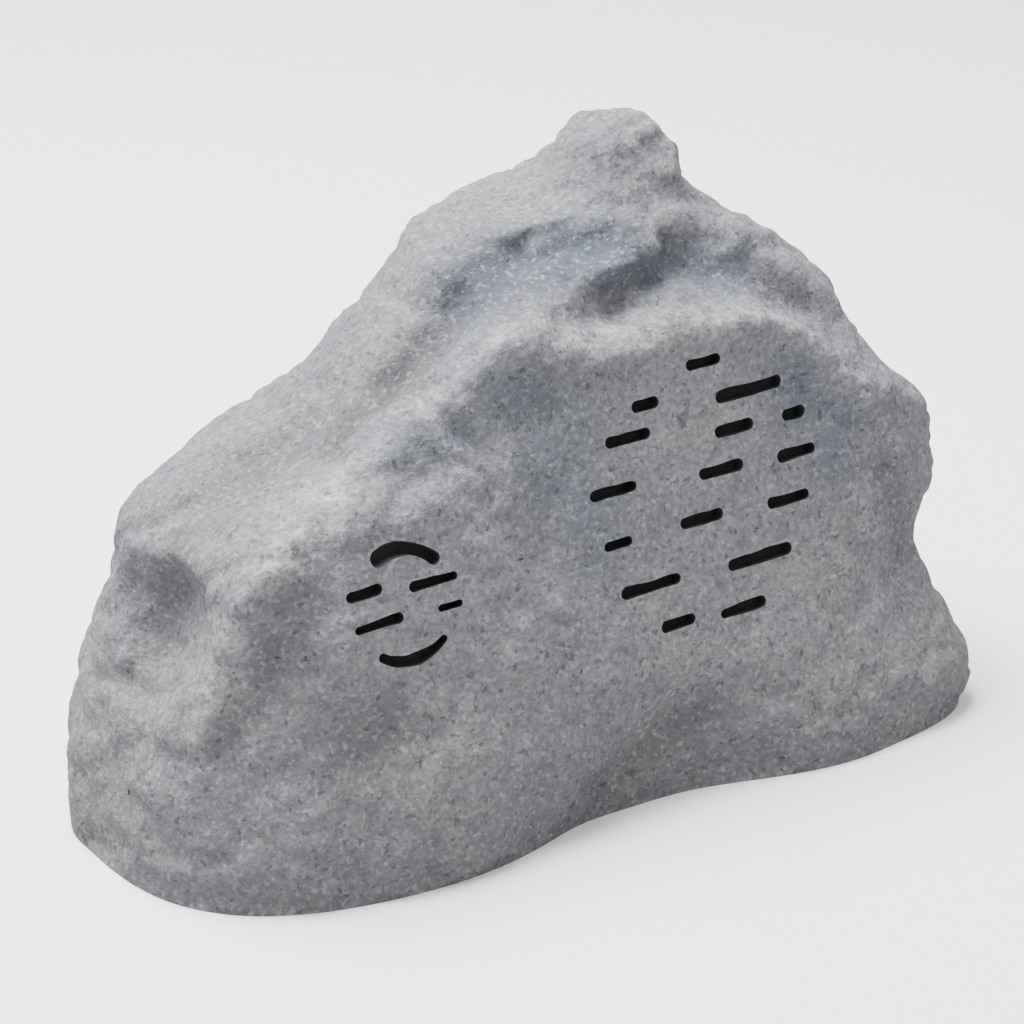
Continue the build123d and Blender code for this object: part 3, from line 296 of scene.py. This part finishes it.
def search_tree(rock, faces):
    """Search tree of some of the rock's faces."""
    rock.verts.index_update()
    rows = [[vertex.index for vertex in face.verts] for face in faces]
    return BVHTree.FromPolygons([vertex.co for vertex in rock.verts], rows)


def hollow_lining(rock):
    """Faces that line the rock's hollow."""
    rock.faces.ensure_lookup_table()
    roof = BVHTree.FromBMesh(rock).ray_cast((cad_box[0] + cad_box[1]) / 2, Vector((0, 0, 1)))[2]
    return smooth_patch(rock.faces[roof], SKIN_SHARP)


def close_skin(rock, layer):
    """Cut skin and lining away where the hollow breaks through the skin, and close both again."""
    lining = hollow_lining(rock)
    rim = set()
    for edge in rock.edges:
        sides = edge.link_faces
        if any(face[layer] for face in sides) and any(face in lining for face in sides):
            rim.update(edge.verts)
    if not rim:
        return
    places = KDTree(len(rim))
    for number, vertex in enumerate(rim):
        places.insert(vertex.co, number)
    places.balance()
    broken = [
        face
        for face in rock.faces
        if (face[layer] or face in lining)
        and min(places.find(vertex.co)[2] for vertex in face.verts) < BREAK_REACH[face[layer]] * MM
    ]
    bmesh.ops.delete(rock, geom=broken, context="FACES")
    open_edges = [edge for edge in rock.edges if edge.is_boundary]
    fresh = bmesh.ops.holes_fill(rock, edges=open_edges, sides=0)["faces"]
    for face in fresh:
        face[layer] = max(side[layer] for edge in face.edges for side in edge.link_faces if side != face)
    bmesh.ops.triangulate(rock, faces=fresh)
    rock.normal_update()


def keep_wall(rock, layer):
    """Draw the inner faces back where they come too close under the skin, but not behind the grilles."""
    skin = search_tree(rock, [face for face in rock.faces if face[layer]])
    for vertex in rock.verts:
        if behind_grille(vertex.co / MM) or any(face[layer] for face in vertex.link_faces):
            continue
        place, outward, _, _ = skin.find_nearest(vertex.co)
        depth = (place - vertex.co).dot(outward)
        if depth < WALL_LEFT * MM and outward.dot(vertex.normal) < 0:
            vertex.co -= outward * (WALL_LEFT * MM - depth)


def make_rock_skin():
    """The rock's shell with its outer skin divided finely, weathered and marked with its washes and painted
    shade.
    """
    rock = bmesh.new()
    rock.from_mesh(cad["rock_shell"].data)
    bmesh.ops.remove_doubles(rock, verts=rock.verts, dist=SKIN_WELD * MM)
    layer = rock.faces.layers.int.new("skin")
    paint_and_painted_light = rock.verts.layers.float_color.new("paint_and_painted_light")
    leftmost = min(rock.faces, key=lambda face: face.calc_center_median().x)
    for face in smooth_patch(leftmost, SKIN_SHARP):
        face[layer] = 1
    close_skin(rock, layer)
    for longest in SKIN_EDGES:
        split_skin(rock, layer, longest * MM)
    skin = {vertex for face in rock.faces if face[layer] for vertex in face.verts}
    loose = [vertex for vertex in skin if all(face[layer] for face in vertex.link_faces)]
    relax(rock, loose)
    rock.normal_update()

    moves = {}
    for vertex in skin:
        place = vertex.co / MM
        # Painted shade, darker towards the foot
        foot_shade = max(1 - place.z / FOOT_SHADE_HEIGHT, 0)
        # Bluish paint deepened into painted shade, grey painted shade, and pale dry-brush with a painted
        # highlight
        blue, grey, pale = (wash(place, washes) for washes in (BLUE_PAINT_AND_SHADE_WASHES, PAINTED_SHADE_WASHES, PALE_PAINT_AND_HIGHLIGHT_WASHES))
        vertex[paint_and_painted_light] = (blue, grey, pale, foot_shade)
        moves[vertex] = vertex.normal * weather(place) * min(place.z / FOOT_CALM, 1) * MM
    low, high = cad_box
    for vertex, move in moves.items():
        moved = vertex.co + move
        vertex.co = [min(max(at, least), most) for at, least, most in zip(moved, low, high)]
    for line, reach, push in WORN_LINES:
        if push < 0:
            relax(rock, [vertex for vertex in loose if line_distance(vertex.co / MM, line) < reach])
    keep_wall(rock, layer)

    # Inner faces, the slot walls among them, get the near-black moulding, which is also painted shade inside
    # the slots
    for face in rock.faces:
        face.smooth = bool(face[layer])
        face.material_index = 0 if face[layer] else 1
    mesh = bpy.data.meshes.new("rock_skin")
    rock.to_mesh(mesh)
    rock.free()
    piece = bpy.data.objects.new("rock_skin", mesh)
    bpy.context.scene.collection.objects.link(piece)
    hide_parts("rock_shell")
    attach(piece, "enclosure")
    return piece


class Finish:
    """A node material with its shader and object coordinates ready to link."""

    def __init__(self, name, roughness, metallic=0):
        self.material = bpy.data.materials.new(name)
        self.material.use_nodes = True
        self.tree = self.material.node_tree
        self.shader = self.tree.nodes["Principled BSDF"]
        self.shader.inputs["Roughness"].default_value = roughness
        self.shader.inputs["Metallic"].default_value = metallic
        self.place = self.node("TexCoord").outputs["Object"]

    def node(self, kind, **values):
        """New shader node with its inputs set from names, where _ stands for a space."""
        made = self.tree.nodes.new("ShaderNode" + kind)
        for name, value in values.items():
            made.inputs[name.replace("_", " ")].default_value = value
        return made

    def link(self, output, node, name):
        """Link an output to a node's input."""
        self.tree.links.new(output, node.inputs[name])

    def noise(self, size, detail=2.0, shift=0.0):
        """Noise with features of a size in millimetres."""
        texture = self.node("TexNoise", Scale=1 / (size * MM), Detail=detail, Roughness=0.6)
        move = self.node("Mapping", Location=(shift, shift, shift))
        self.link(self.place, move, "Vector")
        self.link(move.outputs["Vector"], texture, "Vector")
        return texture.outputs["Fac"]

    def step(self, value, low, high):
        """Soft step of a value from 0 at low to 1 at high."""
        ramp = self.node("MapRange", From_Min=low, From_Max=high)
        ramp.interpolation_type = "SMOOTHSTEP"
        self.link(value, ramp, "Value")
        return ramp.outputs["Result"]

    def times(self, value, other):
        """Product of a value with a number or another value."""
        product = self.node("Math")
        product.operation = "MULTIPLY"
        self.tree.links.new(value, product.inputs[0])
        if isinstance(other, float):
            product.inputs[1].default_value = other
        else:
            self.tree.links.new(other, product.inputs[1])
        return product.outputs["Value"]

    def mix(self, share, before, after):
        """Colour mixed from one towards another by a share."""
        blend = self.node("Mix")
        blend.data_type = "RGBA"
        self.tree.links.new(share, blend.inputs[0])
        for socket, colour in ((blend.inputs[6], before), (blend.inputs[7], after)):
            if isinstance(colour, tuple):
                socket.default_value = (*colour, 1)
            else:
                self.tree.links.new(colour, socket)
        return blend.outputs[2]

    def bump(self, height, depth, strength=1.0, below=None):
        """Bump of a depth in millimetres, on top of another bump if one is given."""
        bump = self.node("Bump", Strength=strength, Distance=depth * MM)
        self.link(height, bump, "Height")
        if below:
            self.link(below, bump, "Normal")
        return bump.outputs["Normal"]

    def done(self, colour, normal):
        """The material, with its colour and normal linked to its shader."""
        self.link(colour, self.shader, "Base Color")
        self.link(normal, self.shader, "Normal")
        return self.material


def stone_and_painted_light():
    """Sprayed granite: grey ground, bluish washes deepened into painted shade in its hollows, grey painted
    shade in its creases, pale dry-brush with a painted highlight on its ridges, painted shade towards its foot,
    and dark and pale spots over them.

    The paint attribute holds the blue, grey and pale washes as red, green and blue, and the painted shade at
    the foot as alpha.
    """
    stone = Finish("stone_and_painted_light", roughness=0.88)
    paint_and_painted_light = stone.node("Attribute")
    paint_and_painted_light.attribute_name = "paint_and_painted_light"
    washes = stone.node("SeparateColor")
    stone.link(paint_and_painted_light.outputs["Color"], washes, "Color")
    broken = stone.step(stone.noise(15, detail=5), 0.36, 0.60)
    patchy = stone.step(stone.noise(20, detail=5, shift=4), 0.12, 0.52)

    drift = stone.step(stone.noise(80, detail=3), 0.3, 0.7)
    ground = stone.mix(drift, GROUND_DARK, GROUND_LIGHT)
    # Pale dry-brush on the ridges, also a painted highlight
    ground = stone.mix(stone.times(washes.outputs["Blue"], broken), ground, PALE_PAINT_AND_HIGHLIGHT)
    # Painted shade in the grooves, creases and hollows
    ground = stone.mix(stone.times(washes.outputs["Green"], patchy), ground, PAINTED_SHADE_GREY)
    # Bluish paint in the hollows, darkened to be painted shade as well
    ground = stone.mix(stone.times(washes.outputs["Red"], patchy), ground, BLUE_PAINT_AND_SHADE)
    # Painted shade, darker towards the foot
    ground = stone.mix(stone.times(paint_and_painted_light.outputs["Alpha"], FOOT_SHADE_STRENGTH), ground, FOOT_SHADE_COLOUR)
    for size, detail, shift, low, high, strength, colour in STONE_SPOTS:
        spots = stone.step(stone.noise(size, detail, shift), low, high)
        ground = stone.mix(stone.times(spots, strength), ground, colour)

    coarse = stone.bump(stone.noise(8, detail=4, shift=2), depth=2.4, strength=0.7)
    fine = stone.bump(stone.noise(2.4, detail=4), depth=0.9, strength=0.75, below=coarse)
    return stone.done(ground, fine)


def mottled(name, colour, roughness, size, depth, metallic=0, spread=0.35):
    """Plain moulded, cast or plated surface with a fine grain and uneven tone."""
    finish = Finish(name, roughness, metallic)
    darker = tuple(channel * (1 - spread) for channel in colour)
    patches = finish.step(finish.noise(size * PATCH_GRAINS, detail=3), 0.3, 0.7)
    tone = finish.mix(patches, darker, colour)
    tone = finish.mix(finish.times(finish.noise(size), GRAIN_STRENGTH), tone, darker)
    return finish.done(tone, finish.bump(finish.noise(size, detail=3), depth, strength=0.5))


def banded(name, colour, groove, roughness, pitch, direction, metallic=0):
    """Threads or turns of wire that lie side by side."""
    finish = Finish(name, roughness, metallic)
    scale = 1 / (pitch * MM * WAVE_BANDS) * math.tau
    wave = finish.node("TexWave", Scale=scale, Distortion=0.6, Detail=1)
    wave.bands_direction = direction
    finish.link(finish.place, wave, "Vector")
    tone = finish.mix(wave.outputs["Fac"], groove, colour)
    return finish.done(tone, finish.bump(wave.outputs["Fac"], pitch * THREAD_DEPTH, strength=0.6))


rock_skin = make_rock_skin()
rock_skin.data.materials.append(stone_and_painted_light())
# Near-black moulding inside the slots and the hollow: dark plastic, and painted shade that keeps the slots dark
rock_skin.data.materials.append(mottled("dark_moulding_and_slot_shade", (0.018, 0.018, 0.02), 0.8, 1.5, 0.2))

# Finishes by slot. A mottled one has its colour, roughness, and the size and depth of its grain in millimetres.
# A banded one has the colours of threads and grooves, its roughness, pitch in millimetres and direction.
FINISHES = {
    "base_plastic": mottled("base_plastic", (0.05, 0.05, 0.055), 0.6, 1.2, 0.25),
    "zinc_screw": mottled("zinc_screw", (0.62, 0.62, 0.60), 0.35, 0.8, 0.05, metallic=1),
    "gasket_foam": mottled("gasket_foam", (0.035, 0.035, 0.037), 0.95, 0.8, 0.3),
    "screen_cloth": banded("screen_cloth", (0.014, 0.015, 0.017), (0.004, 0.004, 0.005), 0.95, 0.9, "X"),
    "basket_steel": mottled("basket_steel", (0.03, 0.03, 0.032), 0.45, 1.0, 0.1),
    "motor_steel": mottled("motor_steel", (0.45, 0.45, 0.44), 0.32, 1.0, 0.05, metallic=1),
    "ferrite": mottled("ferrite", (0.055, 0.055, 0.06), 0.7, 0.9, 0.15),
    "coil_copper": banded("coil_copper", (0.62, 0.30, 0.14), (0.20, 0.08, 0.03), 0.3, 0.8, "Z", metallic=1),
    "cone_poly": mottled("cone_poly", (0.025, 0.025, 0.028), 0.4, 1.4, 0.08),
    "surround_rubber": mottled("surround_rubber", (0.02, 0.02, 0.021), 0.7, 0.9, 0.1),
    "spider_cloth": banded("spider_cloth", (0.48, 0.27, 0.10), (0.25, 0.12, 0.04), 0.9, 0.8, "DIAGONAL"),
    "terminal_board": mottled("terminal_board", (0.25, 0.13, 0.06), 0.6, 0.7, 0.05),
    "faceplate_plastic": mottled("faceplate_plastic", (0.03, 0.03, 0.032), 0.5, 1.0, 0.1),
    "dome_film": mottled("dome_film", (0.10, 0.10, 0.11), 0.3, 1.2, 0.04),
    "board_laminate": mottled("board_laminate", (0.05, 0.20, 0.09), 0.4, 1.5, 0.05),
    "can_black": mottled("can_black", (0.03, 0.03, 0.05), 0.3, 1.0, 0.04),
    "film_box": mottled("film_box", (0.55, 0.33, 0.06), 0.35, 1.0, 0.05),
    "ceramic": mottled("ceramic", (0.78, 0.76, 0.70), 0.8, 0.8, 0.15, spread=0.15),
    "block_green": mottled("block_green", (0.05, 0.28, 0.12), 0.35, 1.0, 0.05),
    "lead_red": mottled("lead_red", (0.55, 0.03, 0.03), 0.5, 1.0, 0.05),
    "lead_black": mottled("lead_black", (0.02, 0.02, 0.02), 0.5, 1.0, 0.05),
    "gland_nylon": mottled("gland_nylon", (0.035, 0.035, 0.037), 0.5, 0.8, 0.12),
    "seal_rubber": mottled("seal_rubber", (0.03, 0.03, 0.03), 0.85, 0.8, 0.1),
}
for part in frame["record"]["subparts"]:
    if part["material_slot"] in FINISHES:
        surface = cad[part["node"]].data
        surface.materials.clear()
        surface.materials.append(FINISHES[part["material_slot"]])


def direction_from(azimuth, elevation):
    """Direction from the rock to a viewer or light, from angles in degrees."""
    turn, rise = math.radians(azimuth), math.radians(elevation)
    return Vector((math.sin(turn) * math.cos(rise), -math.cos(turn) * math.cos(rise), math.sin(rise)))


def place_in_studio(name, data, azimuth, elevation, distance):
    """Object that looks at the rock's middle from a direction and a distance."""
    thing = bpy.data.objects.new(name, data)
    back = direction_from(azimuth, elevation)
    thing.location = CAMERA_TARGET + back * distance
    thing.rotation_euler = (-back).to_track_quat("-Z", "Y").to_euler()
    bpy.context.scene.collection.objects.link(thing)
    return thing


def soft_light(name, azimuth, elevation, distance, size, power):
    """Large square light that looks at the rock."""
    light = bpy.data.lights.new(name, "AREA")
    light.size = size
    light.energy = power
    place_in_studio(name, light, azimuth, elevation, distance)


def pale_floor():
    """Pale matt floor, seen brighter than the light that it throws back on the rock."""
    floor = Finish("pale_floor", roughness=0.95)
    seen = floor.node("LightPath").outputs["Is Camera Ray"]
    floor.link(floor.mix(seen, FLOOR_THROWN, FLOOR_SEEN), floor.shader, "Base Color")
    return floor.material


def make_floor():
    """Wide pale floor under the rock."""
    shape = bmesh.new()
    bmesh.ops.create_grid(shape, x_segments=1, y_segments=1, size=FLOOR_REACH)
    mesh = bpy.data.meshes.new("floor")
    shape.to_mesh(mesh)
    shape.free()
    mesh.materials.append(pale_floor())
    floor = bpy.data.objects.new("floor", mesh)
    bpy.context.scene.collection.objects.link(floor)


make_floor()
soft_light("key", azimuth=-140, elevation=72, distance=2.2, size=1.4, power=200)
soft_light("fill", azimuth=25, elevation=30, distance=2.6, size=2.0, power=10)
world = bpy.data.worlds.new("studio")
world.use_nodes = True
sky = world.node_tree.nodes["Background"]
sky.inputs["Color"].default_value = (1, 1, 1, 1)
sky.inputs["Strength"].default_value = SKY_STRENGTH
bpy.context.scene.world = world

lens = bpy.data.cameras.new("photo_camera")
lens.lens = CAMERA_LENS
lens.sensor_width = 36
bpy.context.scene.camera = place_in_studio(
    "photo_camera", lens, CAMERA_AZIMUTH, CAMERA_ELEVATION, CAMERA_DISTANCE
)
